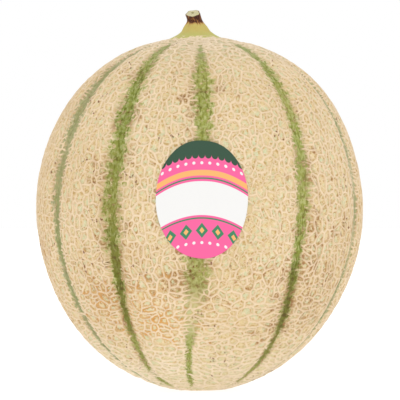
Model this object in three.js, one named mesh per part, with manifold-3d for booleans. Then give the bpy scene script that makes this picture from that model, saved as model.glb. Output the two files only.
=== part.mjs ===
// A whole netted cantaloupe melon with its short cut stem and a paper label.
// Millimetres, +Z up. The origin is the centre of the small flat spot that the melon rests on.
// The labelled front faces -Y. A bearing is the angle round the stem axis, from the front towards +X.
import * as THREE from "three";
import { ConvexHull } from "three/addons/math/ConvexHull.js";
import { mergeVertices } from "three/addons/utils/BufferGeometryUtils.js";
import Module from "manifold-3d";

const wasm = await Module();
wasm.setup();

const { sin, cos, tan, acos, atan2, sqrt, hypot, exp, abs, round, floor, PI } = Math;
const radians = THREE.MathUtils.degToRad;
const smoothstep = THREE.MathUtils.smoothstep;

// The rind under its net.
const fruit = {
  diameter: 138,
  crownHeight: 73.6, // from the widest level up to the stem's foot
  baseHeight: 77.9, // from the widest level down to the flat spot
  shoulderExponent: 2.11, // 2 is an ellipse, and more is a squarer shoulder under the stem
  shoulderStart: 0.8, // cosine of the polar angle where the shoulder has its full squareness
  flatRadius: 8.5, // flat spot at the blossom end
  sutureDepth: 1.7,
  sutureSpread: 5.5, // how far the valley beside a suture reaches
};

// Slow waves in the rind, which keep it from being a perfect solid of revolution: how many go round
// it, how many from end to end, and how far each lifts it.
const swells = [
  { round: 2, down: 3, lift: 0.25 },
  { round: 3, down: -5, lift: 0.25 },
];

// The raised corky net, with cells larger than life.
const net = {
  height: 1.5,
  ridgeWidth: 2.6,
  cellPitch: 9.4,
  shortestSide: 1.8, // corners closer than this are one corner
  smallestFloor: 0.3, // share of its cell that the floor keeps at least
  sutureHalfWidth: 2.8, // the net stops this far from a suture
  narrowestRib: 0.6, // cells that a rib must have room for between its sutures' flanks, or it gets one in all
  jitter: 0.3, // share of the pitch that a cell may stray
  bareAngle: radians(8), // bare of net round each end, from the axis
  fullAngle: radians(15),
  seed: 7,
};

// Bearing of each suture under the stem, in degrees, and how far it has drifted at the blossom end.
const sutures = [
  { bearing: 2.4, drift: -10 },
  { bearing: 37.6, drift: -2 },
  { bearing: 72.5, drift: -8 },
  { bearing: 109, drift: -3 },
  { bearing: 147, drift: 4 },
  { bearing: 187, drift: -2 },
  { bearing: 226, drift: 3 },
  { bearing: 264, drift: -2 },
  { bearing: 300, drift: 1 },
  { bearing: 330, drift: -4 },
];

const stem = {
  footRadius: 9.4,
  neckRadius: 3.1,
  flareHeight: 9.2, // the foot narrows to the neck over this height
  flarePower: 1.4, // more hollows the flare
  height: 10.9,
  ribStart: 0.3, // share of the height where the ribs are full
  slantStart: 0.5, // share of the height where the slant to the cut begins
  leanX: -1.5, // how far the cut end stands from the foot's centre
  leanY: -1.2,
  centreX: -1.5, // the foot's centre, from the melon's axis
  cutTilt: radians(26), // the cut faces the front by this much
  ribs: 5,
  ribDepth: 0.07, // share of the radius
  sides: 30,
  flareSteps: 7,
};

const label = {
  width: 37.5,
  height: 48.2,
  thickness: 0.4,
  bearing: radians(0.8),
  centreHeight: 81.6,
  sides: 36,
  rings: 5,
};

const clearance = 0.3; // between pieces that touch
const seatDepth = 0.8; // the stem's foot stands in a shallow seat this deep

// ---- The rind's shape ----

// The flat spot cuts the tip off a slightly deeper base, whose full depth follows from the flat's radius.
const halfWidth = fruit.diameter / 2;
const baseDepth = fruit.baseHeight / sqrt(1 - (fruit.flatRadius / halfWidth) ** 2);
const centre = new THREE.Vector3(0, 0, fruit.baseHeight);
const crownTop = fruit.baseHeight + fruit.crownHeight;

// Unit direction from the melon's centre, by its angle from the stem axis and its bearing.
function directionOf(polar, bearing) {
  return new THREE.Vector3(sin(polar) * sin(bearing), -sin(polar) * cos(bearing), cos(polar));
}

function polarOf(direction) {
  return acos(THREE.MathUtils.clamp(direction.z, -1, 1));
}

function bearingOf(direction) {
  return atan2(direction.x, -direction.y);
}

function bodyRadius(direction) {
  const exponent = 2 + (fruit.shoulderExponent - 2) * smoothstep(direction.z, 0, fruit.shoulderStart);
  const across = hypot(direction.x, direction.y) / halfWidth;
  const along = abs(direction.z) / (direction.z > 0 ? fruit.crownHeight : baseDepth);
  return (across ** exponent + along ** exponent) ** (-1 / exponent);
}

// The body with its swells, which fade out at both ends.
function ribRadius(direction) {
  const polar = polarOf(direction);
  const bearing = bearingOf(direction);
  let radius = bodyRadius(direction);
  for (const swell of swells)
    radius += swell.lift * sin(swell.round * bearing + swell.down * polar) * sin(polar) ** 2;
  return radius;
}

function sutureBearing(suture, polar) {
  const share = (1 - cos(polar)) / 2;
  return radians(suture.bearing + suture.drift * share * share);
}

// Distance along the rind to the nearest suture.
function sutureDistance(direction) {
  const polar = polarOf(direction);
  const turns = sutures.map((suture) => (bearingOf(direction) - sutureBearing(suture, polar)) / (2 * PI));
  const nearest = Math.min(...turns.map((turn) => abs(turn - round(turn))));
  return nearest * 2 * PI * bodyRadius(direction) * sin(polar);
}

// 0 at both ends of the melon and 1 over the rest of it.
function endFade(direction) {
  const polar = polarOf(direction);
  return smoothstep(Math.min(polar, PI - polar), net.bareAngle, net.fullAngle);
}

function rindRadius(direction) {
  const valley = exp(-((sutureDistance(direction) / fruit.sutureSpread) ** 2));
  return ribRadius(direction) - fruit.sutureDepth * valley * endFade(direction);
}

// ---- Solids and meshes ----

function solidOf(geometry) {
  const bare = geometry.clone();
  bare.deleteAttribute("normal");
  bare.deleteAttribute("uv");
  const merged = mergeVertices(bare, 1e-4);
  return new wasm.Manifold(
    new wasm.Mesh({
      numProp: 3,
      vertProperties: new Float32Array(merged.attributes.position.array),
      triVerts: new Uint32Array(merged.index.array),
    }),
  );
}

function geometryOf(solid) {
  const { vertProperties, triVerts } = solid.getMesh();
  const geometry = new THREE.BufferGeometry();
  geometry.setAttribute("position", new THREE.BufferAttribute(vertProperties, 3));
  geometry.setIndex(new THREE.BufferAttribute(triVerts, 1));
  geometry.computeVertexNormals();
  return geometry;
}

// Moves each vertex of a geometry to where place() puts it.
function reshape(geometry, place) {
  const position = geometry.attributes.position;
  const vertex = new THREE.Vector3();
  for (let i = 0; i < position.count; i++) {
    vertex.fromBufferAttribute(position, i);
    const placed = place(vertex);
    position.setXYZ(i, placed.x, placed.y, placed.z);
  }
  return geometry;
}

// ---- The net: one cell round each centre, with a ridge along every border ----

// Seeded, so that the net is the same each time (mulberry32).
function seededRandom(seed) {
  let state = seed;
  return () => {
    state = (state + 0x6d2b79f5) | 0;
    let t = Math.imul(state ^ (state >>> 15), 1 | state);
    t = (t + Math.imul(t ^ (t >>> 7), 61 | t)) ^ t;
    return ((t ^ (t >>> 14)) >>> 0) / 2 ** 32;
  };
}

// Rows of cell centres from end to end. Each suture has a column of its own with a column close on
// each side, so that the borders between them run along it. The rest share out each rib's width, one
// more in every other row, as bricks do.
function cellCentres() {
  const random = seededRandom(net.seed);
  const stray = () => (random() * 2 - 1) * net.jitter;
  const flank = 2 * net.sutureHalfWidth;
  const rows = round((PI * (halfWidth + crownTop / 2)) / 2 / net.cellPitch);
  const rowAngle = PI / rows;
  const cells = [];
  const add = (polar, bearing, suture = null) => {
    cells.push({ direction: directionOf(polar, bearing), suture });
  };

  for (let row = 0; row < rows; row++) {
    const polar = (row + 0.5) * rowAngle;
    const strayed = () => polar + stray() * rowAngle;
    const ring = bodyRadius(directionOf(polar, 0)) * sin(polar);
    const roundRing = round((2 * PI * ring) / net.cellPitch);
    if (roundRing < sutures.length) {
      const count = Math.max(3, roundRing);
      for (let i = 0; i < count; i++) add(strayed(), (2 * PI * (i + row / 2)) / count);
      continue;
    }
    const columns = sutures.map((suture) => ({ polar: strayed(), bearing: sutureBearing(suture, polar) }));
    columns.forEach((column, index) => {
      const start = column.bearing;
      const next = columns[(index + 1) % columns.length];
      const width = ring * ((next.bearing - start + 2 * PI) % (2 * PI));
      add(column.polar, start, index);
      const shared = (width - 2 * flank) / net.cellPitch;
      if (shared < net.narrowestRib) {
        add(strayed(), start + width / 2 / ring);
        return;
      }
      add(column.polar, start + flank / ring);
      add(next.polar, start + (width - flank) / ring);
      const steps = floor(shared) + (row % 2);
      for (let i = 1; i < steps; i++) {
        const across = flank + ((i + stray() / 2) / steps) * (width - 2 * flank);
        add(strayed(), start + across / ring);
      }
    });
  }
  return cells;
}

function edgesOf(face) {
  return [face.edge, face.edge.next, face.edge.prev];
}

// Every cell with the corners of its border, anticlockwise from outside. The hull of the centres has
// a face wherever three cells meet, and the face's normal points at that corner.
function netCells() {
  const cells = cellCentres();
  const cellAt = new Map(cells.map((cell) => [cell.direction, cell]));
  const { faces } = new ConvexHull().setFromPoints(cells.map((cell) => cell.direction));

  // Two corners closer than the shortest side become one halfway between them.
  const joined = new Set();
  for (const face of faces) {
    for (const { twin } of edgesOf(face)) {
      const other = twin.face;
      if (joined.has(face) || joined.has(other)) continue;
      if (face.normal.distanceTo(other.normal) * halfWidth > net.shortestSide) continue;
      face.normal.add(other.normal).normalize();
      other.normal = face.normal;
      joined.add(face).add(other);
    }
  }

  // Walk round each centre, from face to face, and drop a corner that the next one repeats.
  for (const first of faces.flatMap(edgesOf)) {
    const cell = cellAt.get(first.head().point);
    if (cell.corners) continue;
    const corners = [];
    let edge = first;
    do {
      corners.unshift({ direction: edge.face.normal, neighbour: cellAt.get(edge.tail().point) });
      edge = edge.next.twin;
    } while (edge !== first);
    const after = (i) => corners[(i + 1) % corners.length];
    cell.corners = corners.filter(({ direction }, i) => direction !== after(i).direction);
  }
  return cells;
}

// A point over the melon in a direction, standing off its rind by the net's height times a share.
function pointOver(direction, share) {
  const radius = rindRadius(direction) + share * net.height * endFade(direction);
  return direction.clone().multiplyScalar(radius).add(centre);
}

// Each cell slopes from the crest round it down to its floor. A cell on a suture is a groove that
// runs on through its neighbours on that suture, so no ridge crosses there.
function cellTriangles(cell) {
  const crests = [];
  cell.corners.forEach(({ direction, neighbour }, i) => {
    crests.push(pointOver(direction, 1));
    const next = cell.corners[(i + 1) % cell.corners.length].direction;
    if (cell.suture !== null && neighbour.suture === cell.suture)
      crests.push(pointOver(direction.clone().add(next).normalize(), 0));
  });
  const middle = new THREE.Vector3();
  cell.corners.forEach(({ direction }) => middle.add(direction));
  middle.normalize();

  const triangles = [];
  if (cell.suture !== null) {
    const floorPoint = pointOver(middle, 0);
    crests.forEach((crest, i) => triangles.push(crest, crests[(i + 1) % crests.length], floorPoint));
    return triangles;
  }
  const flatMiddle = new THREE.Vector3();
  crests.forEach((crest) => flatMiddle.addScaledVector(crest, 1 / crests.length));
  const inradius = Math.min(
    ...crests.map((crest, i) => {
      const side = new THREE.Line3(crest, crests[(i + 1) % crests.length]);
      return side.closestPointToPoint(flatMiddle, true, new THREE.Vector3()).distanceTo(flatMiddle);
    }),
  );
  const share = Math.max(net.smallestFloor, 1 - net.ridgeWidth / 2 / inradius);
  const floors = cell.corners.map(({ direction }) =>
    pointOver(middle.clone().lerp(direction, share).normalize(), 0),
  );
  crests.forEach((crest, i) => {
    const j = (i + 1) % crests.length;
    triangles.push(crest, crests[j], floors[j], crest, floors[j], floors[i]);
    if (i > 0 && j > 0) triangles.push(floors[0], floors[i], floors[j]);
  });
  return triangles;
}

function fruitSolid() {
  const points = netCells().flatMap(cellTriangles);
  const skin = solidOf(new THREE.BufferGeometry().setFromPoints(points));

  const tableBlock = new THREE.BoxGeometry(fruit.diameter, fruit.diameter, fruit.baseHeight);
  tableBlock.translate(0, 0, -fruit.baseHeight / 2);

  const seatRadius = stem.footRadius + clearance;
  const seat = new THREE.CylinderGeometry(seatRadius, seatRadius, 2 * seatDepth, stem.sides);
  seat.rotateX(PI / 2);
  seat.translate(stem.centreX, 0, crownTop);
  return skin.subtract(solidOf(tableBlock)).subtract(solidOf(seat));
}

// ---- The stem: a flared foot, a leaning neck and a slanting cut ----

function stemGeometry() {
  const profile = [new THREE.Vector2(0, 0)];
  for (let i = 0; i <= stem.flareSteps; i++) {
    const share = i / stem.flareSteps;
    const flare = (stem.footRadius - stem.neckRadius) * (1 - share) ** stem.flarePower;
    profile.push(new THREE.Vector2(stem.neckRadius + flare, share * stem.flareHeight));
  }
  profile.push(new THREE.Vector2(stem.neckRadius, stem.height));
  profile.push(new THREE.Vector2(0, stem.height));
  const geometry = new THREE.LatheGeometry(profile, stem.sides);
  geometry.rotateX(PI / 2);

  return reshape(geometry, (vertex) => {
    const up = vertex.z / stem.height;
    const ribbed = 1 + stem.ribDepth * cos(stem.ribs * bearingOf(vertex)) * smoothstep(up, 0, stem.ribStart);
    const x = vertex.x * ribbed;
    const y = vertex.y * ribbed;
    const slant = y * tan(stem.cutTilt) * smoothstep(up, stem.slantStart, 1);
    return new THREE.Vector3(x + stem.leanX * up ** 2, y + stem.leanY * up ** 2, vertex.z + slant);
  });
}

// ---- The label: an oval of paper that lies on the net ----

function labelGeometry() {
  const profile = [];
  for (let i = 0; i <= label.rings; i++) profile.push(new THREE.Vector2(i / label.rings, 0));
  for (let i = label.rings; i >= 0; i--) profile.push(new THREE.Vector2(i / label.rings, label.thickness));
  const geometry = new THREE.LatheGeometry(profile, label.sides);
  geometry.rotateX(PI / 2);

  const standOff = net.height + clearance;
  const diameterThere = fruit.diameter + 2 * standOff;
  const middlePolar = acos((label.centreHeight - centre.z) / fruit.crownHeight);
  return reshape(geometry, (vertex) => {
    const polar = middlePolar - (vertex.y * label.height) / diameterThere;
    const bearing = label.bearing + (vertex.x * label.width) / diameterThere / sin(polar);
    const direction = directionOf(polar, bearing);
    return direction.multiplyScalar(ribRadius(direction) + standOff + vertex.z).add(centre);
  });
}

// ---- The melon ----

function namedMesh(name, geometry, colour, roughness) {
  const material = new THREE.MeshStandardMaterial({ color: colour, roughness, metalness: 0 });
  material.name = `${name}_finish`;
  const mesh = new THREE.Mesh(geometry, material);
  mesh.name = name;
  return mesh;
}

const melon = new THREE.Group();
melon.name = "cantaloupe_melon";

melon.add(namedMesh("fruit", geometryOf(fruitSolid()), "#dcc79a", 0.75));

const stemMesh = namedMesh("stem", stemGeometry(), "#8a7a45", 0.85);
stemMesh.position.set(stem.centreX, 0, crownTop - seatDepth + clearance);
melon.add(stemMesh);

melon.add(namedMesh("label", labelGeometry(), "#fe6da4", 0.5));

export default melon;
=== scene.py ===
import math

import bmesh
import bpy
import numpy as np
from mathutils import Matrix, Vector, kdtree, noise


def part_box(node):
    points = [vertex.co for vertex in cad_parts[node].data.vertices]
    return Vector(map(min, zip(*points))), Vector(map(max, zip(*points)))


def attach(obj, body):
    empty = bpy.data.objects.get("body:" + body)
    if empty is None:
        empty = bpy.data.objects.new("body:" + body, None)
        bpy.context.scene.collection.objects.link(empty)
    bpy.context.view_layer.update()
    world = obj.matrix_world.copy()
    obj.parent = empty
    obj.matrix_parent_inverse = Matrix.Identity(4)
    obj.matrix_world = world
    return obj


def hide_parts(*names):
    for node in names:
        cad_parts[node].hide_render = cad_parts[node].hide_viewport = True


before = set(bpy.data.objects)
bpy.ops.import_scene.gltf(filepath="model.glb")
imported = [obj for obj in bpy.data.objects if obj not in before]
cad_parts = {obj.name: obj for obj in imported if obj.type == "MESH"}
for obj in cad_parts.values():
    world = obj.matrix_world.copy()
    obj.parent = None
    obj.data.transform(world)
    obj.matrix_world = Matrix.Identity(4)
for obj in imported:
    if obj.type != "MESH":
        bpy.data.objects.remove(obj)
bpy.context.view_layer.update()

# A whole netted melon with its stem and a paper label. Metres, +Z up, the labelled front faces -Y.
# A place on the rind is given by its polar angle from the stem and its bearing from the front to +X.

fruitLow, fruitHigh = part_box("fruit")

rind = {
    "halfWidth": (fruitHigh.x - fruitLow.x) / 2 - 0.0015,  # skin under the net
    "crownHeight": 0.0731,  # widest level to the stem's foot
    "baseHeight": 0.0779,  # flat spot to the widest level
    "shoulder": 2.13,  # squareness of the crown, 2 is an ellipse
    "flatRadius": 0.0085,
    "valleyDepth": 0.0012,
    "valleySpread": 0.0052,
    "scarRadius": 0.0055,  # dimple of the fallen flower
    "scarDepth": 0.0006,
}

# waves round the rind, waves from end to end, lift
swells = [(1, 1, 0.0006), (2, 3, 0.00025), (3, -5, 0.00025)]

# The sutures, in turn round the stem: how grey each one is, a painted bluish sheen for those seen at a slant,
# then its bearing in degrees, how broad and how green it is at each of these polar angles
sutureLevels = (20, 40, 60, 80, 100, 116, 124, 140, 160)
sutures = [
    {
        "sheenGrey": 0,
        "bearing": (0.9, 1.1, 1.9, 0.7, -1, -0.9, -2.6, -5, -9),
        "breadth": (0.15, 1.3, 1.4, 1.4, 1.5, 2.1, 1.2, 0.55, 0.5),
        "green": (0.45, 0.72, 0.71, 0.72, 0.5, 0.68, 0.1, 0.65, 0.8),
    },
    {
        "sheenGrey": 0,
        "bearing": (42, 39.9, 39.5, 38.2, 37.4, 36.8, 37.8, 39.7, 42.8),
        "breadth": (0.8, 1, 1.1, 1.2, 1, 0.9, 0.85, 0.7, 0.4),
        "green": (0.75, 0.7, 0.66, 0.62, 0.72, 1.18, 1.3, 1.25, 0.7),
    },
    {
        "sheenGrey": 1,
        "bearing": (72.5, 72.9, 72.5, 71.4, 71.4, 70.6, 70.8, 71.8, 73),
        "breadth": (0.4, 0.9, 1.1, 1.1, 1, 1, 1, 0.95, 0.7),
        "green": (0.3, 0.42, 0.42, 0.4, 0.42, 0.48, 0.5, 0.5, 0.45),
    },
    {
        "sheenGrey": 0,
        "bearing": (110, 108.4, 109.2, 109.3, 107.7, 106.4, 106.8, 107.6, 108.2),
        "breadth": (0.5, 1, 1.3, 1.2, 1.2, 1.04, 0.96, 0.8, 0.6),
        "green": (0.3, 0.8, 0.7, 0.9, 0.7, 0.62, 0.66, 0.9, 0.8),
    },
    {
        "sheenGrey": 0,
        "bearing": (146, 147.6, 148.2, 147.5, 147.6, 149.4, 150.3, 150.3, 148.8),
        "breadth": (0.6, 1.3, 1.5, 1.3, 1, 0.92, 0.88, 0.8, 0.7),
        "green": (0.3, 0.8, 0.9, 0.7, 0.9, 0.98, 0.94, 0.7, 0.9),
    },
    {
        "sheenGrey": 0,
        "bearing": (187.8, 186.6, 186, 187, 187.4, 186.2, 185.2, 184.5, 186.1),
        "breadth": (0.5, 0.9, 1.1, 1.4, 1.3, 1.06, 0.94, 0.7, 0.6),
        "green": (0.2, 0.7, 0.8, 0.8, 0.9, 0.66, 0.62, 0.7, 0.8),
    },
    {
        "sheenGrey": 0,
        "bearing": (225.4, 226.9, 226.4, 225.7, 227.4, 228.7, 228.1, 227.6, 230.3),
        "breadth": (0.5, 1.2, 1.4, 1.3, 1, 0.92, 0.88, 0.8, 0.6),
        "green": (0.3, 0.8, 0.7, 0.9, 0.6, 0.76, 0.84, 1, 0.9),
    },
    {
        "sheenGrey": 0.5,
        "bearing": (265, 263.3, 263.6, 264.3, 262.8, 262, 263, 263.2, 261.1),
        "breadth": (0.4, 0.8, 1, 0.9, 1, 0.84, 0.76, 0.6, 0.5),
        "green": (0.2, 0.7, 0.6, 0.7, 0.9, 0.9, 0.86, 0.7, 0.6),
    },
    {
        "sheenGrey": 1,
        "bearing": (300, 300, 301.1, 301, 300.2, 299.3, 299.7, 297.9, 295.2),
        "breadth": (0.7, 1.4, 1.75, 1.4, 1, 0.9, 0.9, 0.8, 0.7),
        "green": (0.45, 0.5, 0.5, 0.5, 0.52, 0.52, 0.52, 0.5, 0.45),
    },
    {
        "sheenGrey": 0,
        "bearing": (326.5, 329.7, 329.6, 329, 328.4, 329.2, 327.9, 326.3, 319.8),
        "breadth": (0.6, 1.15, 1.65, 1.55, 1.3, 0.86, 0.72, 0.58, 0.62),
        "green": (0.7, 0.8, 0.85, 0.9, 1.15, 1.3, 1.25, 0.9, 0.8),
    },
]

# Weathered places, partly painted shade: the spots just left of the suture at about 37 degrees and the broad,
# faint ones towards the sides darken where shade falls. Bearing, polar angle, reach, how brown, how rusty
stainsAndShade = [
    (-2.5, 116, 0.0085, 0.7, 0),
    (-10, 114, 0.0055, 0.45, 0),
    (-24, 106, 0.006, 0.42, 0.1),
    (-26, 98, 0.0035, 0.6, 0),
    (-3.4, 48, 0.003, 0.8, 0),
    (-3.4, 53, 0.0033, 0.85, 0),
    (-3.4, 58, 0.0033, 0.8, 0),
    (-4, 64, 0.004, 0.5, 0),
    (-27, 56, 0.0045, 0.65, 0),
    (-25.5, 71, 0.006, 0.45, 0),
    (-35.5, 79, 0.005, 0.45, 0),
    (-37, 120, 0.008, 0.45, 0.15),
    (42, 109, 0.008, 0.45, 0.1),
    (41.5, 96, 0.007, 0.45, 0.1),
    (-11, 40, 0.0045, 0.5, 0),
    (-38, 41, 0.004, 0.5, 0),
    (8, 48, 0.0035, 0.75, 0),
    (-18, 131, 0.0075, 0, 0.85),
    (-30, 42, 0.005, 0.6, 0),
    (-43, 122, 0.006, 0.1, 0.65),
    (-35, 103, 0.0045, 0.5, 0),
    (-29, 113, 0.004, 0.5, 0),
    (40, 80, 0.005, 0.5, 0),
    # painted shade at the left edge of the suture at about 37 degrees
    (34, 113, 0.004, 0.6, 0),
    (36, 122, 0.004, 0.6, 0),
    (36, 131, 0.005, 0.75, 0),
    # the broad, faint spots in this group: painted shade where the light falls off towards the sides
    (50, 122, 0.024, 0.3, 0.05),
    (-52, 122, 0.024, 0.18, 0.05),
    (-18, 122, 0.02, 0.12, 0.25),
    (24, 112, 0.006, 0.35, 0.1),
    (62, 104, 0.026, 0.25, 0.05),
    (50, 132, 0.018, 0.2, 0.05),
    (-62, 95, 0.03, 0.15, 0.05),
    (52, 70, 0.02, 0.25, 0.05),
    (-38, 78, 0.015, 0.25, 0.05),
    (-40, 128, 0.016, 0.15, 0.1),
    (0, 179, 0.004, 0.9, 0.3),
    (100, 60, 0.006, 0.6, 0.1),
    (128, 118, 0.008, 0.2, 0.6),
    (172, 76, 0.006, 0.6, 0),
    (190, 110, 0.03, 0.3, 0.1),
    (205, 128, 0.007, 0.7, 0.3),
    (240, 55, 0.005, 0.6, 0.1),
    (262, 90, 0.026, 0.3, 0.05),
    (282, 104, 0.006, 0.4, 0.5),
]

# Where the net is fainter: bearing, polar angle, reach, by how much
faintPlaces = [
    (20, 88, 0.016, 0.4),
    (20, 105, 0.012, 0.25),
    (-18, 62, 0.012, 0.2),
    (-50, 70, 0.014, 0.2),
    (120, 80, 0.016, 0.3),
    (165, 105, 0.014, 0.25),
    (210, 70, 0.016, 0.3),
    (250, 110, 0.014, 0.25),
]

net = {
    "seed": 11,
    "tries": 40000,  # random places tried for a first, large cell
    "spacing": 0.007,  # closest that two large cells' middles come, before it is varied
    "longest": 0.0062,  # a cell longer than this is cut in two, before it is varied
    "height": 0.00055,
    "halfTop": 0.00022,  # half the flat top of a ridge
    "taper": 0.00016,  # how far this varies along a ridge
    "slope": 0.00038,  # width of its side
    "easing": 1,  # rounds of smoothing, which bend the ridges where they meet
    "easingShare": 0.4,  # how far each round moves a corner
    "cutTurn": 0.2,  # usual turn of a cut from square across a cell, in radians
    "cutShift": 0.12,  # most that it lies from the middle, as a share of the cell
    "shortSide": 0.0008,  # corners closer than this are one corner
    "waver": 0.00034,  # how far the ridges wander off straight lines
    "bareHalf": 0.002,  # bare this far from a suture's middle
    "fullHalf": 0.0042,  # whole from here on
    "ragged": 0.0016,  # how far both of these vary
    "scarEdge": (0.004, 0.0075),  # bare within the first of the scar's middle, whole past the second
    "crownEdge": (0.0105, 0.0135),  # the same round the stem, where it is only lower
    "crownWander": 0.003,  # how far that edge varies
    "cellDome": 0.00008,  # how far the middle of a cell stands up
}

# Heights up the melon between which its colour changes
levels = {
    "base": (0.004, 0.035),
    # the painted shade beside the sutures is weaker below the second of these heights
    "lowValleyShade": (0.015, 0.05),
    "crown": (0.13, 0.15),
    "bluish": (0.134, 0.15),
}


def smoothStep(value, low, high):
    share = np.clip((value - low) / (high - low), 0, 1)
    return share * share * (3 - 2 * share)


def fieldNoise(points, scale, shift=0.0):  # smooth noise from -1 to 1 at each row of points
    offset = Vector((shift, -shift, 2 * shift))
    return np.array([noise.noise(Vector(p) * scale + offset) for p in points])


# The rind's shape

halfWidth = rind["halfWidth"]
stemFoot = -0.0013  # the stem stands a little to -X
baseDepth = rind["baseHeight"] / math.sqrt(1 - (rind["flatRadius"] / halfWidth) ** 2)
centre = np.array([0, 0, rind["baseHeight"]])


def polarBearing(directions):
    return np.arccos(np.clip(directions[:, 2], -1, 1)), np.arctan2(directions[:, 0], -directions[:, 1])


def directionsAt(polar, bearing):
    return np.stack([np.sin(polar) * np.sin(bearing), -np.sin(polar) * np.cos(bearing), np.cos(polar)], 1)


def bodyRadius(polar):
    up = np.cos(polar)
    power = 2 + (rind["shoulder"] - 2) * smoothStep(up, 0, 0.8)
    along = np.abs(up) / np.where(up > 0, rind["crownHeight"], baseDepth)
    return ((np.sin(polar) / halfWidth) ** power + along**power) ** (-1 / power)


def lobeRadius(polar, bearing):  # the body with its swells
    radius = bodyRadius(polar)
    for around, down, lift in swells:
        radius = radius + lift * np.sin(around * bearing + down * polar) * np.sin(polar) ** 2
    return radius


def fromEndToEnd(values):  # one value for every degree from the stem down, eased between the levels
    eased = np.interp(np.arange(181), sutureLevels, values)
    for _ in range(3):
        eased[4:-4] = np.convolve(eased, np.full(9, 1 / 9), "valid")
    return eased


trackNames = ("bearing", "breadth", "green")
sutureTracks = [{name: fromEndToEnd(suture[name]) for name in trackNames} for suture in sutures]


def readTrack(index, name, polar):
    return np.interp(np.degrees(polar), np.arange(181), sutureTracks[index][name])


def sutureOffsets(polar, bearing):  # signed distance to the nearest suture, and which one it is
    ring = bodyRadius(polar) * np.sin(polar)
    tracks = [np.radians(readTrack(index, "bearing", polar)) for index in range(len(sutures))]
    turns = [(bearing - track) / (2 * np.pi) for track in tracks]
    offsets = np.array([(turn - np.round(turn)) * 2 * np.pi * ring for turn in turns])
    nearest = np.abs(offsets).argmin(0)
    return np.take_along_axis(offsets, nearest[None], 0)[0], nearest


def endFade(polar):  # 0 at both ends of the melon and 1 over the rest
    low = smoothStep(np.pi - polar, math.radians(8), math.radians(34))
    return low * smoothStep(polar, math.radians(6), math.radians(16))


def skinPoints(polar, bearing, lift):  # points on the rind, raised by lift
    offset, _ = sutureOffsets(polar, bearing)
    valley = np.exp(-((offset / rind["valleySpread"]) ** 2)) * endFade(polar)
    radius = lobeRadius(polar, bearing) - rind["valleyDepth"] * valley + lift
    points = directionsAt(polar, bearing) * radius[:, None] + centre
    outward = np.hypot(points[:, 0], points[:, 1])
    dimple = rind["scarDepth"] * (1 - smoothStep(outward, 0.4 * rind["scarRadius"], rind["scarRadius"]))
    low = polar > np.pi / 2
    points[low, 2] = np.maximum(points[low, 2], dimple[low])
    return points


# The net: cells scattered over the rind, with a ridge along every border


def scatterCells():  # each cell kept in turn clears the random places too close to it
    random = np.random.default_rng(net["seed"])
    tries = random.normal(size=(net["tries"], 3))
    tries /= np.linalg.norm(tries, axis=1)[:, None]
    tree = kdtree.KDTree(len(tries))
    for index, place in enumerate(tries):
        tree.insert(place, index)
    tree.balance()
    free = np.ones(len(tries), bool)
    kept = []
    for index, place in enumerate(tries):
        if not free[index]:
            continue
        kept.append(index)
        size = net["spacing"] / halfWidth * (1 + 0.4 * noise.noise(Vector(place) * 30))
        free[[hit[1] for hit in tree.find_range(place, size)]] = False
    return tries[kept]


def splitCells(cells):  # cuts each long cell across, with a little disorder, until all are small
    random = np.random.default_rng(net["seed"] + 1)
    waiting = list(cells.faces)
    while waiting:
        cell = waiting.pop()
        middle = cell.calc_center_median()
        spot = middle.normalized()
        polar, bearing = polarBearing(np.array([spot]))
        offset, _ = sutureOffsets(polar, bearing)
        beside = 1 - smoothStep(abs(offset[0]), 0.003, 0.0075)  # cells beside a suture lie across it
        low = smoothStep(polar[0], 1.8, 2.3)  # and so do those towards the blossom end
        upright = 1 + 0.3 * (1 - beside) * (1 - 2 * low) - 0.35 * beside + 0.5 * noise.noise(spot * 8)
        longest = net["longest"] / halfWidth * (1 + 0.3 * noise.noise(spot * 9) + 0.2 * random.uniform(-1, 1))
        longest *= 1 - 0.15 * beside

        east = Vector((math.cos(bearing[0]), math.sin(bearing[0]), 0))
        north = spot.cross(east)
        across = [corner.co.dot(east) for corner in cell.verts]
        along = [corner.co.dot(north) for corner in cell.verts]
        wide = (max(across) - min(across)) * upright**0.5
        tall = (max(along) - min(along)) / upright**0.5
        if max(wide, tall) < longest:
            continue
        turn = net["cutTurn"] * random.normal() + (math.pi / 2 if tall > wide else 0)
        crosswise = math.cos(turn) * east + math.sin(turn) * north
        level = middle.dot(crosswise) + random.uniform(-net["cutShift"], net["cutShift"]) * max(wide, tall)
        ends = []
        for corner in cell.loops:
            start, end = corner.vert, corner.link_loop_next.vert
            before, after = start.co.dot(crosswise) - level, end.co.dot(crosswise) - level
            if before * after < 0:
                ends.append((corner.edge, start, min(max(before / (before - after), 0.2), 0.8)))
        if len(ends) != 2:
            continue
        cuts = [bmesh.utils.edge_split(side, start, share)[1] for side, start, share in ends]
        other, _ = bmesh.utils.face_split(cell, *cuts)
        waiting += [cell, other]


def cellMesh():
    cells = bmesh.new()
    for place in scatterCells():
        cells.verts.new(place)
    bmesh.ops.convex_hull(cells, input=cells.verts, use_existing_faces=False)
    seeds = list(cells.verts)
    spokes = list(cells.edges)
    bmesh.ops.poke(cells, faces=cells.faces)
    bmesh.ops.rotate_edges(cells, edges=spokes, use_ccw=False)
    bmesh.ops.dissolve_verts(cells, verts=seeds)
    splitCells(cells)
    for _ in range(net["easing"]):
        bmesh.ops.smooth_vert(
            cells,
            verts=cells.verts,
            factor=net["easingShare"],
            use_axis_x=True,
            use_axis_y=True,
            use_axis_z=True,
        )
    bmesh.ops.dissolve_degenerate(cells, dist=net["shortSide"] / halfWidth, edges=cells.edges)
    print("net cells:", len(cells.faces), "corners:", len(cells.verts))
    return cells


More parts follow.
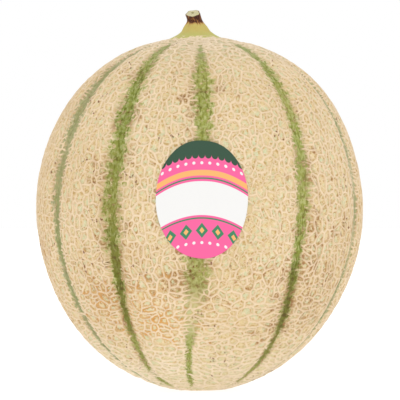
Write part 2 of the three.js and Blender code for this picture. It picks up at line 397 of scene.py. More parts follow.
def slopeWidth(cell):  # narrower where the cell is small or has a short side
    middle = cell.calc_center_median()
    wanted = net["slope"] * (1 + 0.5 * noise.noise(middle * 11) + 0.3 * noise.noise(middle * 45))
    limits = [wanted / halfWidth]
    for corner in cell.loops:
        side = corner.link_loop_next.vert.co - corner.vert.co
        limits.append(0.45 * (middle - corner.vert.co).cross(side).length / side.length)
        narrowing = 0
        for end in (corner, corner.link_loop_next):
            turn = end.calc_angle() if end.is_convex else 2 * math.pi - end.calc_angle()
            narrowing += 1 / math.tan(turn / 2)
        if narrowing > 0:
            limits.append(0.85 * side.length / narrowing)
    return max(round(min(limits), 4), 0.0003)


def growRidges(cells):
    tops = bmesh.ops.bevel(
        cells,
        geom=cells.edges[:],
        offset=net["halfTop"] / halfWidth,
        affect="EDGES",
        segments=1,
        profile=0.5,
        material=-1,
        clamp_overlap=False,
    )["faces"]
    tops = set(tops)
    section = cells.verts.layers.float.new("section")  # 1 on a ridge, 0 at its foot, -1 in mid cell
    for corner in cells.verts:
        corner[section] = 1
    floors = [face for face in cells.faces if face not in tops]
    for floor in floors:
        middle = floor.calc_center_median()
        for corner in floor.verts:
            change = net["taper"] / halfWidth * noise.noise(corner.co * 50)
            corner.co += (corner.co - middle).normalized() * change
    groups = {}
    for floor in floors:
        groups.setdefault(slopeWidth(floor), []).append(floor)
    for width, group in groups.items():
        bmesh.ops.inset_individual(cells, faces=group, thickness=width, use_even_offset=True)
    for floor in floors:
        for corner in floor.verts:
            corner[section] = 0
    for middle in bmesh.ops.poke(cells, faces=floors)["verts"]:
        middle[section] = -1


def coordinates(mesh):
    places = np.empty(3 * len(mesh.vertices))
    mesh.vertices.foreach_get("co", places)
    return places.reshape(-1, 3)


def moveTo(mesh, places):
    mesh.vertices.foreach_set("co", places.ravel())
    mesh.update()


def keepValues(mesh, name, values):  # a value at each vertex, for the material to read
    layer = mesh.attributes.get(name) or mesh.attributes.new(name, "FLOAT", "POINT")
    layer.data.foreach_set("value", values.astype(np.float32))


def makePiece(name, mesh, material, node):
    mesh.materials.append(material)
    mesh.polygons.foreach_set("use_smooth", [True] * len(mesh.polygons))
    piece = bpy.data.objects.new(name, mesh)
    bpy.context.collection.objects.link(piece)
    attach(piece, "root")
    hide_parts(node)
    return piece


def meshFrom(shape, name):
    bmesh.ops.recalc_face_normals(shape, faces=shape.faces)
    mesh = bpy.data.meshes.new(name)
    shape.to_mesh(mesh)
    shape.free()
    return mesh


def nearPlace(places, bearing, polar, reach, mottle=1):  # 1 at a spot, fading to 0 beyond its reach
    middle = directionsAt(np.radians([polar]), np.radians([bearing]))[0]
    return np.exp(-((np.linalg.norm(places - middle, axis=1) * halfWidth / reach * mottle) ** 2))


def wavered(places):  # moved about a little, so that the ridges wander
    noise.seed_set(net["seed"])  # otherwise noise_vector differs from one run to the next
    wander = np.array([noise.noise_vector(Vector(p) * 34) for p in places])
    wander += 1.5 * np.array([noise.noise_vector(Vector(p) * 11) for p in places])
    places = places + wander * net["waver"] / halfWidth
    return places / np.linalg.norm(places, axis=1)[:, None]


def sutureStrength(polar, along, nearest):  # how broad a suture is at each point, and how well it shows
    broad = np.zeros(len(polar))
    green = np.zeros(len(polar))
    for index in range(len(sutures)):
        mine = nearest == index
        broad[mine] = readTrack(index, "breadth", polar[mine])
        green[mine] = readTrack(index, "green", polar[mine])
    track = np.stack([nearest * 5.3, along / 0.012, np.zeros_like(along)], 1)
    broad *= 1 + 0.25 * fieldNoise(track, 1, 7.0)
    green = np.clip(green * (1 + 0.2 * fieldNoise(track, 1)), 0, 1.3)
    ends = smoothStep(polar, math.radians(12), math.radians(22))
    ends *= smoothStep(np.pi - polar, math.radians(8), math.radians(20))
    return broad, green * ends


def netCover(polar, along, offset, nearest, show):  # thins over a suture, raggedly, and ends at the scar
    whiskers = fieldNoise(np.stack([along / 0.0013, offset / 0.005, nearest * 3.7], 1), 1)
    bareness = np.clip(0.5 + 0.6 * show, 0, 1)
    aside = np.abs(offset) + net["ragged"] * whiskers
    netted = smoothStep(aside, net["bareHalf"] * bareness, net["fullHalf"] * bareness)
    netted = 1 - (1 - netted) * np.clip(show * 1.8 - 0.05, 0, 1)
    fromScar = smoothStep(np.sin(polar) * halfWidth, *net["scarEdge"])
    return netted * (1 - (polar > np.pi / 2) * (1 - fromScar))


def placeRind(mesh):
    section = np.empty(len(mesh.vertices))
    mesh.attributes["section"].data.foreach_get("value", section)
    places = wavered(coordinates(mesh))
    polar, bearing = polarBearing(places)
    offset, nearest = sutureOffsets(polar, bearing)
    along = polar * bodyRadius(polar)
    broad, show = sutureStrength(polar, along, nearest)
    offset = offset / broad
    netted = netCover(polar, along, offset, nearest, show)

    fromStem = halfWidth * np.hypot(places[:, 0] - stemFoot / halfWidth, places[:, 1])
    fromStem += net["crownWander"] * fieldNoise(places, 40, 6.0) + (polar > np.pi / 2)
    crown = 1 - smoothStep(fromStem, *net["crownEdge"])
    netted *= 1 - 0.5 * crown
    strength = 0.85 + 0.9 * fieldNoise(places, 30, 5.0)
    for at, down, reach, share in faintPlaces:
        strength -= share * nearPlace(places, at, down, reach)
    strength = np.clip(strength - 0.1 * smoothStep(polar, 2.3, 2.7), 0.15, 1.15)

    ridge = np.clip(section, 0, 1)
    dome = net["cellDome"] * np.clip(-section, 0, 1)
    lift = ridge * net["height"] * (0.5 + 0.5 * strength) * netted + dome
    moveTo(mesh, skinPoints(polar, bearing, lift))

    brown, rust = np.zeros(len(places)), np.zeros(len(places))
    mottle = 1 + 0.9 * fieldNoise(places, 25, 4.0)
    for at, down, reach, browned, rusty in stainsAndShade:
        near = nearPlace(places, at, down, reach, mottle)
        brown += browned * near
        rust += rusty * near

    sheenGrey = np.array([suture["sheenGrey"] for suture in sutures])[nearest]
    for name, values in {
        "netted": netted,
        "crown": crown,
        "strength": strength,
        "show": show,
        "sheenGrey": sheenGrey,
        "offset": offset * 1000,  # the material counts these three in millimetres
        "away": np.abs(offset) * 1000,
        "along": along * 1000,
        "brown": np.clip(brown, 0, 1),
        "rust": np.clip(rust, 0, 1),
    }.items():
        keepValues(mesh, name, values)


# Materials


def linear(*screen):  # from screen values of 0 to 255
    return (*(((c / 255 + 0.055) / 1.055) ** 2.4 if c > 10 else c / 3295 for c in screen), 1)


class Finish:  # a node material that is put together from small steps
    def __init__(self, name):
        self.material = bpy.data.materials.new(name)
        self.material.use_nodes = True
        self.nodes = self.material.node_tree.nodes
        self.links = self.material.node_tree.links
        self.shader = self.nodes["Principled BSDF"]

    def add(self, kind, inputs=(), output=0, **settings):
        node = self.nodes.new(kind)
        for key, value in settings.items():
            setattr(node, key, value)
        for key, value in dict(inputs).items():
            self.feed(node.inputs[key], value)
        return node.outputs[output]

    def feed(self, socket, value):
        if isinstance(value, bpy.types.NodeSocket):
            self.links.new(value, socket)
        else:
            socket.default_value = value

    def value(self, name):
        return self.add("ShaderNodeAttribute", attribute_name=name, output="Fac")

    def place(self):
        return self.add("ShaderNodeTexCoord", output="Object")

    def sums(self, operation, *values):
        return self.add("ShaderNodeMath", dict(enumerate(values)), operation=operation)

    def times(self, first, *others):
        for other in others:
            first = self.sums("MULTIPLY", first, other)
        return first

    def plus(self, first, *others):
        for other in others:
            first = self.sums("ADD", first, other)
        return first

    def ramp(self, value, low, high, to=(0, 1), smooth=True):
        kind = "SMOOTHSTEP" if smooth else "LINEAR"
        ends = {"Value": value, "From Min": low, "From Max": high, "To Min": to[0], "To Max": to[1]}
        return self.add("ShaderNodeMapRange", ends, interpolation_type=kind)

    def swing(self, value, reach):  # a noise, spread evenly from -reach to reach
        return self.ramp(value, 0.25, 0.75, (-reach, reach), False)

    def mix(self, share, first, second, blend="MIX"):
        inputs = {0: share, 6: first, 7: second}
        return self.add("ShaderNodeMix", inputs, 2, data_type="RGBA", blend_type=blend)

    def noise(self, vector, scale, detail=2.0, roughness=0.5):
        inputs = {"Vector": vector, "Scale": scale, "Detail": detail, "Roughness": roughness}
        return self.add("ShaderNodeTexNoise", inputs, "Fac")

    def warped(self, vector, scale, reach):  # the same place, moved about by a noise
        wander = self.add("ShaderNodeTexNoise", {"Vector": vector, "Scale": scale, "Detail": 1.0}, "Color")
        wander = self.add("ShaderNodeVectorMath", {0: wander, 1: (0.5, 0.5, 0.5)}, operation="SUBTRACT")
        moved = {0: wander, 1: (reach, reach, reach), 2: vector}
        return self.add("ShaderNodeVectorMath", moved, operation="MULTIPLY_ADD")

    def vector(self, x, y, z):
        return self.add("ShaderNodeCombineXYZ", {0: x, 1: y, 2: z})

    def bump(self, height, strength, distance, normal=None):
        inputs = {"Strength": strength, "Distance": distance, "Height": height}
        if normal:
            inputs["Normal"] = normal
        return self.add("ShaderNodeBump", inputs)

    def shade(self, **inputs):
        for key, value in inputs.items():
            self.feed(self.shader.inputs[key.replace("_", " ")], value)
        return self.material


rindColours = {
    "paleFloor": linear(212, 212, 172),
    "tanFloor": linear(226, 203, 156),
    # floorEdge and foot: painted shade at the foot of the ridges; floorEdge also gives plain ochre lines and
    # a broad tint
    "floorEdge": linear(196, 160, 102),
    "foot": linear(160, 116, 72),
    # ridgeSide to crest: cream cork, painted lighter at the crest as a highlight
    "ridgeSide": linear(220, 193, 148),
    "crest": linear(237, 214, 182),
    "paleCrest": linear(244, 228, 204),
    # bluish: also the painted sheen of the greyer sutures
    "bluish": linear(146, 152, 122),
    "greyGreen": linear(100, 104, 72),
    "sage": linear(170, 170, 108),
    "paleGreen": linear(184, 188, 126),
    "green": linear(144, 152, 66),
    "deepGreen": linear(84, 92, 0),
    # painted shade beside the suture valleys
    "valleyShade": linear(182, 156, 108),
    "stemGreen": linear(186, 186, 110),
    "brown": linear(136, 104, 68),
    # the colour of the stains, and of the painted shade in their list
    "stainAndShadeTone": linear(176, 142, 116),
    "rust": linear(218, 158, 80),
    "speck": linear(112, 52, 30),
}


def rindFinish():
    f = Finish("netted rind")
    place = f.place()
    height = f.add("ShaderNodeSeparateXYZ", {0: place}, 2)
    names = ("section", "netted", "show", "along", "offset", "strength", "brown", "sheenGrey")
    section, netted, show, along, offset, strength, brown, sheenGrey = [f.value(name) for name in names]
    away = f.sums("MAXIMUM", f.sums("ABSOLUTE", offset), f.sums("SUBTRACT", f.value("away"), 3.0))
    patches = f.noise(place, 45, 3)
    blotches = f.noise(place, 390, 2)
    cellTone = f.noise(place, 330, 1)
    flecks = f.noise(place, 700, 3, 0.6)
    grain = f.noise(place, 1900, 3, 0.6)
    crinkled = f.plus(section, f.swing(flecks, 0.6), f.swing(grain, 0.3))

    # skin between the ridges: grey green or tan in mid cell, with an ochre line of painted shade in places
    # under the ridge
    skin = f.mix(f.ramp(cellTone, 0.35, 0.6), rindColours["paleFloor"], rindColours["tanFloor"])
    broken = f.noise(place, 900, 2)
    footShade = f.times(f.ramp(crinkled, -0.75, -0.05), netted, f.ramp(broken, 0.44, 0.58, (0.1, 1)))
    skin = f.mix(footShade, skin, rindColours["floorEdge"])
    skin = f.mix(f.times(footShade, brown), skin, rindColours["foot"])

    # a finer second net between the ridges, pale and broken, and short ochre lines
    fine = {"Vector": f.warped(place, 300, 0.0012), "Scale": 430.0}
    fine = f.add("ShaderNodeTexVoronoi", fine, "Distance", feature="DISTANCE_TO_EDGE")
    line = f.times(f.ramp(fine, 0.04, 0.14, (0.8, 0)), f.ramp(broken, 0.4, 0.55))
    skin = f.mix(f.times(line, netted), skin, rindColours["crest"])
    wander = f.sums("ABSOLUTE", f.sums("SUBTRACT", f.noise(place, 600, 1), 0.5))
    line = f.times(f.ramp(wander, 0.0, 0.03, (0.6, 0)), f.ramp(blotches, 0.45, 0.55))
    skin = f.mix(f.times(line, netted), skin, rindColours["floorEdge"])

    # paler towards the base
    skin = f.mix(f.ramp(height, *levels["base"], (0.35, 0)), skin, rindColours["paleFloor"])

    def strokeNoise(downwards, sideways, shift, *detail):  # drawn out along or across the sutures
        spot = f.vector(f.times(along, downwards), f.times(offset, sideways), shift)
        return f.noise(spot, 1, *detail)

    # sutures: ragged sage bands, greener and streaked towards the middle
    across = strokeNoise(1.3, 0.35, 0.0, 3, 0.6)
    streak = strokeNoise(0.4, 1.3, 4.0, 3, 0.65)
    core = f.plus(away, f.swing(streak, 0.8), f.swing(flecks, 1.2), f.swing(blotches, 1.7))
    edge = f.plus(core, f.swing(across, 1.1))
    # the greyer sutures are painted bluish, a painted sheen where they are seen at a slant
    pale = f.mix(sheenGrey, rindColours["sage"], rindColours["bluish"])
    band = f.times(f.ramp(edge, 2.5, 3.6, (1, 0)), f.ramp(show, 0.0, 0.6, smooth=False))
    heart = f.times(f.ramp(core, 1.4, 2.4, (1, 0)), f.ramp(show, 0.35, 0.7, smooth=False))
    deep = f.times(f.ramp(core, 0.9, 2.2, (1, 0)), f.ramp(show, 0.7, 1.2, smooth=False))
    mottled = f.noise(place, 620, 3, 0.65)
    skin = f.mix(band, skin, pale)
    skin = f.mix(f.times(heart, 0.9), skin, rindColours["green"])
    strokes = f.times(band, f.ramp(mottled, 0.42, 0.62, (0, 0.85)), f.ramp(streak, 0.42, 0.57, (0.3, 1)))
    skin = f.mix(f.times(strokes, f.ramp(show, 0.5, 0.7, (0.7, 1))), skin, rindColours["paleGreen"])
    skin = f.mix(f.times(band, f.ramp(mottled, 0.38, 0.5, (0.5, 0))), skin, rindColours["green"])
    strokes = f.times(band, f.ramp(blotches, 0.5, 0.66, (0, 0.5)), f.ramp(core, 0.8, 2.0))
    skin = f.mix(strokes, skin, rindColours["brown"])
    strokes = f.times(sheenGrey, f.ramp(core, 0.2, 1.8, (0.35, 0)), f.ramp(show, 0.3, 0.5))
    skin = f.mix(strokes, skin, rindColours["greyGreen"])
    skin = f.mix(f.times(heart, f.ramp(streak, 0.38, 0.5, (0.7, 0))), skin, rindColours["deepGreen"])
    skin = f.mix(f.times(deep, 0.8), skin, rindColours["deepGreen"])

    # bluish over the crown, and green round the stem
    skin = f.mix(f.ramp(height, *levels["bluish"], (0, 0.3)), skin, rindColours["bluish"])
    skin = f.mix(f.value("crown"), skin, rindColours["stemGreen"])

    # corky ridges, cream, painted paler towards the crest as a highlight, and paler at both ends of the melon
    cork = f.mix(f.ramp(crinkled, 0.2, 1.0), rindColours["ridgeSide"], rindColours["crest"])
    paler = f.plus(f.ramp(height, *levels["base"], (0.6, 0)), f.ramp(height, *levels["crown"], (0, 0.4)))
    cork = f.mix(paler, cork, rindColours["paleCrest"])
    cork = f.mix(f.ramp(grain, 0.4, 0.75, (0, 0.35)), cork, rindColours["ridgeSide"])
    raised = f.times(f.ramp(crinkled, 0.0, 0.5), f.ramp(netted, 0.1, 0.7))
    raised = f.times(raised, f.ramp(strength, 0.2, 0.8, (0.25, 1)))

    # whiskers of cork reach into the sutures
    comb = f.sums("ABSOLUTE", f.sums("SUBTRACT", strokeNoise(1.5, 0.25, 9.0, 1), 0.5))
    reach = f.times(f.ramp(edge, 1.7, 2.6), f.ramp(away, 4.0, 6.0, (1, 0)))
    comb = f.times(f.ramp(comb, 0.02, 0.07, (0.8, 0)), reach, f.ramp(show, 0.2, 0.6))
    colour = f.mix(f.sums("MAXIMUM", raised, comb), skin, cork)

    # darker beside the sutures, a painted shade beside their valleys that is weaker near the base, with
    # browned patches
    valleyShade = f.times(f.ramp(away, 2.2, 5.2, (1, 0)), f.ramp(show, 0.4, 1.3, (0, 0.7), False))
    valleyShade = f.times(valleyShade, f.ramp(height, *levels["lowValleyShade"], (0.3, 1)), f.ramp(edge, 2.5, 3.5))
    colour = f.mix(valleyShade, colour, rindColours["valleyShade"])
    browned = f.times(f.ramp(patches, 0.45, 0.62), f.ramp(edge, 1.2, 2.4), f.ramp(away, 2.6, 4.6, (1, 0)))
    browned = f.times(browned, f.ramp(flecks, 0.42, 0.6, (0.2, 1)), f.times(show, 0.8))

    # weathered places, and the painted shade that the same list holds
    stainAndShadeShare = f.sums("MAXIMUM", f.ramp(crinkled, -0.8, -0.1, (0.4, 0.9)), f.sums("SUBTRACT", 1.0, netted))
    stainAndShadeShare = f.times(stainAndShadeShare, f.ramp(crinkled, 0.2, 0.9, (1, 0.35)), f.ramp(flecks, 0.4, 0.58, (0.15, 1)))
    stainAndShadeShare = f.times(f.ramp(brown, 0.2, 0.8, (0, 0.9)), stainAndShadeShare)
    colour = f.mix(f.sums("MAXIMUM", browned, stainAndShadeShare), colour, rindColours["stainAndShadeTone"], "MULTIPLY")
    inCells = f.times(netted, f.ramp(crinkled, 0.1, 0.7, (1, 0)))
    rusty = f.times(f.value("rust"), f.ramp(crinkled, -0.5, -0.05), inCells)
    colour = f.mix(rusty, colour, rindColours["rust"])
    tint = f.noise(place, 28, 2)
    colour = f.mix(f.ramp(tint, 0.35, 0.7, (0, 0.15)), colour, rindColours["floorEdge"])

    # a few short dark dashes in loose clusters
    stretched = f.add("ShaderNodeVectorMath", {0: place, 1: (1, 1, 0.6)}, operation="MULTIPLY")
    scattered = {"Vector": f.warped(stretched, 350, 0.0016), "Scale": 800.0}
    scattered = f.add("ShaderNodeTexVoronoi", scattered).node.outputs
    wobble = f.ramp(f.noise(place, 2400, 2), 0.35, 0.65, (-0.16, 0.16), False)
    speck = f.ramp(f.plus(scattered["Distance"], wobble), 0.2, 0.36, (1, 0))
    speck = f.times(speck, f.ramp(scattered["Color"], 0.66, 0.7), f.ramp(f.noise(place, 60, 2), 0.56, 0.62))
    colour = f.mix(f.times(speck, 0.85), colour, rindColours["speck"])

    bump = f.bump(flecks, 0.3, 0.0002, f.bump(grain, 0.35, 0.00012))
    f.shade(Base_Color=colour, Roughness=f.ramp(grain, 0.3, 0.7, (0.55, 0.75)), Normal=bump)
    return f.shade(Specular_IOR_Level=0.2)


cells = cellMesh()
growRidges(cells)
rindMesh = meshFrom(cells, "rind")
placeRind(rindMesh)
rindPiece = makePiece("nettedRind", rindMesh, rindFinish(), "fruit")
print("rind done:", len(rindPiece.data.polygons), "faces")


# The stem: a flare out of the rind, a short leaning neck and a slanting cut

stem = {
    "footHeight": 0.1505,
    "profile": [  # radius and height above the foot
        (0.0136, -0.0013),
        (0.0114, -0.0001),
        (0.0101, 0.0005),
        (0.0084, 0.0013),
        (0.0063, 0.0029),
        (0.0055, 0.004),
        (0.0047, 0.0052),
        (0.0037, 0.0065),
        (0.0031, 0.0077),
        (0.003, 0.0087),
        (0.0031, 0.0103),
    ],
    "cutProfile": [  # share of the neck's radius and of the way up to the cut
        (1.0, 0.35),
        (0.97, 0.75),
        (0.9, 1.0),
        (0.72, 0.98),
        (0.5, 0.92),
        (0.3, 0.86),
        (0.14, 0.7),
        (0.0, 0.6),
    ],
    "cutHeight": 0.0107,
    "levels": 44,
    "sides": 120,
    "ribs": 5,
    "ribDepth": 0.07,
    "groove": 0.06,  # fine grooves of the dried neck, as a share of its radius
    "uneven": 0.07,  # broader swells, as the same share
    "roughCut": 0.00015,  # how uneven the rim of the cut is
    "lean": (-0.0016, -0.001),
    "foot": (stemFoot, 0.0),
    "pithPlace": (-0.0001, 0.0007),
    "cutTilt": 29,  # degrees, lower at the front
    "cutRoll": -5,  # degrees, lower towards -X
}


def makeStem():
    radii, heights = np.array(stem["profile"]).T
    steps = np.linspace(heights[0], heights[-1], stem["levels"])
    outline = np.interp(steps, heights, radii)
    for _ in range(4):
        outline[1:-1] = (outline[:-2] + 2 * outline[1:-1] + outline[2:]) / 4
    shape = bmesh.new()
    points = [(radius, 0, height) for radius, height in zip(outline, steps)]
    rest = stem["cutHeight"] - steps[-1]
    points += [(outline[-1] * share, 0, steps[-1] + rest * up) for share, up in stem["cutProfile"]]
    corners = [shape.verts.new(point) for point in points]
    for pair in zip(corners, corners[1:]):
        shape.edges.new(pair)
    bmesh.ops.spin(
        shape,
        geom=shape.verts[:] + shape.edges[:],
        cent=(0, 0, 0),
        axis=(0, 0, 1),
        angle=2 * math.pi,
        steps=stem["sides"],
        use_merge=True,
    )
    bmesh.ops.remove_doubles(shape, verts=shape.verts, dist=1e-6)
    rim = [edge for edge in shape.edges if edge.is_boundary]
    bmesh.ops.holes_fill(shape, edges=rim, sides=0)
    mesh = meshFrom(shape, "stem")
    places = coordinates(mesh)
    radius = np.hypot(places[:, 0], places[:, 1])
    bearing = np.arctan2(places[:, 0], -places[:, 1])
    rise = places[:, 2] / stem["cutHeight"]
    inward = radius / np.interp(places[:, 2], steps, outline)
    onCut = (places[:, 2] > steps[-1]) * (1 - smoothStep(inward, 0.8, 0.97))
    around = np.stack([np.sin(bearing), np.cos(bearing), np.zeros_like(bearing)], 1)
    fromPith = np.linalg.norm(places[:, :2] - stem["pithPlace"], axis=1)
    neck = smoothStep(rise, 0.35, 0.75)
    ribbed = 1 + stem["ribDepth"] * np.cos(stem["ribs"] * bearing + 0.7) * smoothStep(rise, 0.05, 0.5)
    ribbed += stem["groove"] * fieldNoise(around, 7.0, 1.0) * neck
    upwards = np.column_stack([around[:, :2], rise * 2.5])
    ribbed += stem["uneven"] * fieldNoise(upwards, 1.6, 3.0) * smoothStep(rise, 0, 0.3)
    places[:, :2] *= ribbed[:, None]
    slant = places[:, 1] * math.tan(math.radians(stem["cutTilt"]))
    slant += places[:, 0] * math.tan(math.radians(-stem["cutRoll"]))
    places[:, 2] += slant * smoothStep(rise, 0.5, 1)
    rough = stem["roughCut"] * fieldNoise(around, 2.6, 5.0) * smoothStep(rise, 0.85, 1)
    places[:, 2] += rough * smoothStep(inward, 0.3, 1)
    for axis in (0, 1):
        places[:, axis] += stem["lean"][axis] * np.clip(rise, 0, None) ** 3 + stem["foot"][axis]
    places[:, 2] += stem["footHeight"]
    moveTo(mesh, places)
    keepValues(mesh, "rise", rise)
    keepValues(mesh, "cut", onCut)
    keepValues(mesh, "fromPith", fromPith * 1000)
    keepValues(mesh, "sine", np.sin(bearing))
    keepValues(mesh, "cosine", np.cos(bearing))
    return mesh


stemColours = {
    "flare": linear(196, 180, 100),
    "foot": linear(188, 184, 104),
    "orange": linear(190, 134, 74),
    "brown": linear(128, 80, 42),
    "dark": linear(64, 26, 18),
    "cut": linear(206, 198, 158),
    "pith": linear(140, 134, 80),
}


def stemFinish():
    f = Finish("dry stem")
    place = f.place()
    rise, fromPith, onCut = f.value("rise"), f.value("fromPith"), f.value("cut")
    sine, cosine = f.value("sine"), f.value("cosine")
    streaks = f.noise(f.vector(sine, cosine, f.times(rise, 0.25)), 5.5, 3, 0.65)
    fibres = f.noise(f.vector(sine, cosine, f.times(rise, 0.5)), 8, 2, 0.6)
    blotches = f.noise(place, 330, 3)
    grain = f.noise(place, 1800, 3, 0.6)
    colour = f.mix(f.ramp(rise, 0.05, 0.35), stemColours["foot"], stemColours["flare"])
    colour = f.mix(f.ramp(blotches, 0.5, 0.75, (0, 0.2)), colour, stemColours["orange"])
    dried = f.plus(rise, f.ramp(streaks, 0.3, 0.7, (-0.09, 0.09), False))
    colour = f.mix(f.ramp(dried, 0.48, 0.62, (0, 0.7)), colour, stemColours["orange"])
    colour = f.mix(f.ramp(dried, 0.57, 0.66, (0, 0.95)), colour, stemColours["brown"])
    darker = f.times(f.ramp(dried, 0.6, 0.7), f.ramp(fibres, 0.4, 0.54))
    colour = f.mix(darker, colour, stemColours["dark"])
    lighter = f.times(f.ramp(dried, 0.57, 0.66), f.ramp(fibres, 0.34, 0.42, (0.8, 0)))
    colour = f.mix(lighter, colour, stemColours["orange"])
    cut = f.mix(f.ramp(fromPith, 0.3, 0.9), stemColours["pith"], stemColours["cut"])
    cut = f.mix(f.ramp(blotches, 0.5, 0.7, (0, 0.4)), cut, stemColours["foot"])
    colour = f.mix(f.ramp(onCut, 0.2, 0.7), colour, cut)
    ragged = f.noise(f.warped(place, 300, 0.002), 480, 2)
    ragged = f.sums("SUBTRACT", rise, f.ramp(ragged, 0.42, 0.62, (-0.1, 0.07)))
    colour = f.mix(f.ramp(ragged, -0.04, 0.02, (0.85, 0)), colour, rindColours["crest"])
    bump = f.bump(streaks, 0.6, 0.0004, f.bump(grain, 0.4, 0.0001))
    return f.shade(Base_Color=colour, Roughness=0.7, Normal=bump, Specular_IOR_Level=0.3)


stemPiece = makePiece("driedStem", makeStem(), stemFinish(), "stem")
print("stem done:", len(stemPiece.data.polygons), "faces")


# The label: an oval of thin paper that lies on the net

label = {
    "width": 0.0375,
    "height": 0.0482,
    "thickness": 0.00012,
    "bearing": 0.8,  # degrees from the front to +X
    "middleHeight": 0.0816,
    "lift": 0.00074,  # from the skin up to the crests of the net
    "follow": 0.6,  # how far the paper dips into a suture
    "emboss": 0.00005,  # how much the net shows through
    "curl": 0.00025,  # how far the edge has come away in places
    "arch": 0.018,  # curve of the printed bands, per millimetre
    "printEdge": 0.05,  # softness of the print, in millimetres
    "sides": 120,
    "rings": 22,
}


def makeLabel():
    shape = bmesh.new()
    bmesh.ops.create_circle(shape, cap_ends=True, segments=label["sides"], radius=0.5)
    for _ in range(label["rings"] - 1):
        middle = max(shape.faces, key=lambda face: len(face.verts))
        bmesh.ops.inset_individual(shape, faces=[middle], thickness=0.5 / label["rings"])
    bmesh.ops.poke(shape, faces=[max(shape.faces, key=lambda face: len(face.verts))])
    layer = shape.loops.layers.uv.new("label")
    for face in shape.faces:
        for corner in face.loops:
            corner[layer].uv = (corner.vert.co.x + 0.5, corner.vert.co.y + 0.5)
    bmesh.ops.solidify(shape, geom=shape.faces[:], thickness=label["thickness"] / label["width"])
    mesh = meshFrom(shape, "label")
    places = coordinates(mesh)
    around = 2 * halfWidth + 2 * label["lift"]
    middlePolar = math.acos((label["middleHeight"] - rind["baseHeight"]) / rind["crownHeight"])
    polar = middlePolar - 2 * places[:, 1] * label["height"] / around
    bearing = math.radians(label["bearing"]) + 2 * places[:, 0] * label["width"] / around / np.sin(polar)
    offset, _ = sutureOffsets(polar, bearing)
    valley = np.exp(-((offset / rind["valleySpread"]) ** 2))
    radius = lobeRadius(polar, bearing) - label["follow"] * rind["valleyDepth"] * valley
    flat = places * (1, 1, 0)
    outward = 2 * np.linalg.norm(flat, axis=1)
    radius += label["lift"] + places[:, 2] * label["width"]
    radius += label["emboss"] * fieldNoise(flat, 14) * smoothStep(outward, 1, 0.9)
    radius += label["curl"] * outward**8 * np.clip(0.4 + 1.6 * fieldNoise(flat, 4.0, 2.0), 0, 1)
    moveTo(mesh, directionsAt(polar, bearing) * radius[:, None] + centre)
    mesh.set_sharp_from_angle(angle=math.radians(50))
    return mesh


labelColours = {
    "pink": linear(240, 95, 153),
    "white": linear(233, 232, 230),
    "green": linear(54, 128, 90),
    "darkGreen": linear(40, 74, 52),
    "orange": linear(244, 176, 104),
}


def labelFinish():  # plain bands and rows of small shapes on a pink ground, laid out in millimetres
    f = Finish("label paper")
    sheet = f.add("ShaderNodeSeparateXYZ", {0: f.add("ShaderNodeUVMap", uv_map="label")}).node.outputs
    x = f.times(f.sums("SUBTRACT", sheet["X"], 0.5), label["width"] * 1000)
    y = f.times(f.sums("SUBTRACT", sheet["Y"], 0.5), label["height"] * 1000)
    level = f.plus(y, f.times(x, x, label["arch"]))  # height above the middle of the arched bands
    soft = label["printEdge"]

    def between(value, low, high):
        rising = f.ramp(value, low - soft, low + soft, smooth=False)
        return f.times(rising, f.ramp(value, high - soft, high + soft, (1, 0), False))

    def row(height, pitch, wide, tall, power=1.0):  # lozenges, or dots with a power of 2
        along = f.sums("PINGPONG", f.plus(x, pitch / 2), pitch / 2)
        sideways = f.sums("POWER", f.sums("DIVIDE", f.sums("SUBTRACT", pitch / 2, along), wide), power)
        upwards = f.sums("DIVIDE", f.sums("ABSOLUTE", f.sums("SUBTRACT", level, height)), tall)
        size = f.plus(sideways, f.sums("POWER", upwards, power))
        return f.ramp(size, 1 - 2 * soft / tall, 1 + 2 * soft / tall, (1, 0), False)

    colour = labelColours["pink"]
    for share, name in [
        (between(level, -6.4, 7.4), "white"),
        (between(level, 8.3, 8.9), "green"),
        (between(level, 9.7, 12.0), "orange"),
        (row(14.9, 3.2, 0.62, 0.62, 2.0), "white"),
        (f.sums("MAXIMUM", row(18.2, 2.6, 1.3, 1.5, 2.0), between(level, 18.2, 40)), "darkGreen"),
        (between(level, -7.9, -7.3), "green"),
        (row(-12.6, 6.4, 2.5, 3.1), "green"),
        (row(-12.6, 6.4, 1.0, 1.3), "orange"),
        (row(-17.6, 3.2, 0.62, 0.62, 2.0), "white"),
    ]:
        colour = f.mix(share, colour, labelColours[name])
    fibre = f.noise(f.place(), 2600, 2)
    bump = f.bump(fibre, 0.15, 0.00005)
    return f.shade(Base_Color=colour, Roughness=0.42, Normal=bump, Specular_IOR_Level=0.4)


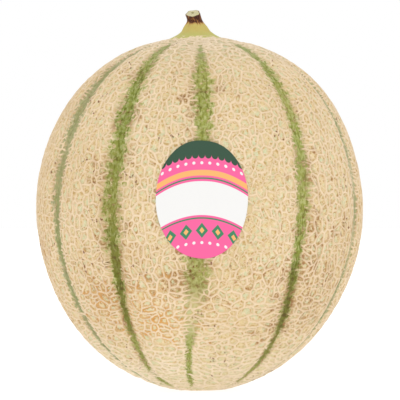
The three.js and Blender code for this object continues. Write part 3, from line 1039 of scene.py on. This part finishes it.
labelPiece = makePiece("paperLabel", makeLabel(), labelFinish(), "label")
print("label done:", len(labelPiece.data.polygons), "faces")


# Floor, light and camera

studio = {
    "floorRadius": 6.0,
    "floorColour": (0.3, 0.3, 0.3, 1),
    "floorGlow": 0.83,
    "skyStrength": 1.0,
    "keyStrength": 0.4,
    "keyAngle": 75,  # spread of the key light, in degrees
    "keyHeight": 10,  # degrees above the floor
    "keyBearing": 8,  # degrees from the front to +X
    "cameraPlace": (0.0002, -1.1, 0.0811),
    "fieldWidth": 0.1718,  # seen at the melon's axis
    "sensorWidth": 36,
}

floorShape = bmesh.new()
bmesh.ops.create_circle(floorShape, cap_ends=True, segments=64, radius=studio["floorRadius"])
floorMesh = meshFrom(floorShape, "floor")
floor = bpy.data.objects.new("floor", floorMesh)
bpy.context.collection.objects.link(floor)
floorMesh.materials.append(
    Finish("pale floor").shade(
        Base_Color=studio["floorColour"],
        Roughness=0.95,
        Emission_Color=(1, 1, 1, 1),
        Emission_Strength=studio["floorGlow"],
    )
)

world = bpy.data.worlds.new("studio")
world.use_nodes = True
sky = world.node_tree.nodes["Background"]
sky.inputs["Color"].default_value = (1, 1, 1, 1)
sky.inputs["Strength"].default_value = studio["skyStrength"]
bpy.context.scene.world = world

keyData = bpy.data.lights.new("key", "SUN")
keyData.energy = studio["keyStrength"]
keyData.angle = math.radians(studio["keyAngle"])
key = bpy.data.objects.new("key", keyData)
key.rotation_euler = (math.radians(90 - studio["keyHeight"]), 0, math.radians(studio["keyBearing"]))
bpy.context.collection.objects.link(key)

cameraData = bpy.data.cameras.new("camera")
cameraData.sensor_width = studio["sensorWidth"]
cameraData.lens = studio["sensorWidth"] * -studio["cameraPlace"][1] / studio["fieldWidth"]
cameraData.clip_start = 0.01
cameraData.clip_end = 50
camera = bpy.data.objects.new("camera", cameraData)
camera.location = studio["cameraPlace"]
camera.rotation_euler = (math.pi / 2, 0, 0)
bpy.context.collection.objects.link(camera)
bpy.context.scene.camera = camera
bpy.context.scene.view_settings.view_transform = "Standard"
print("stage done")
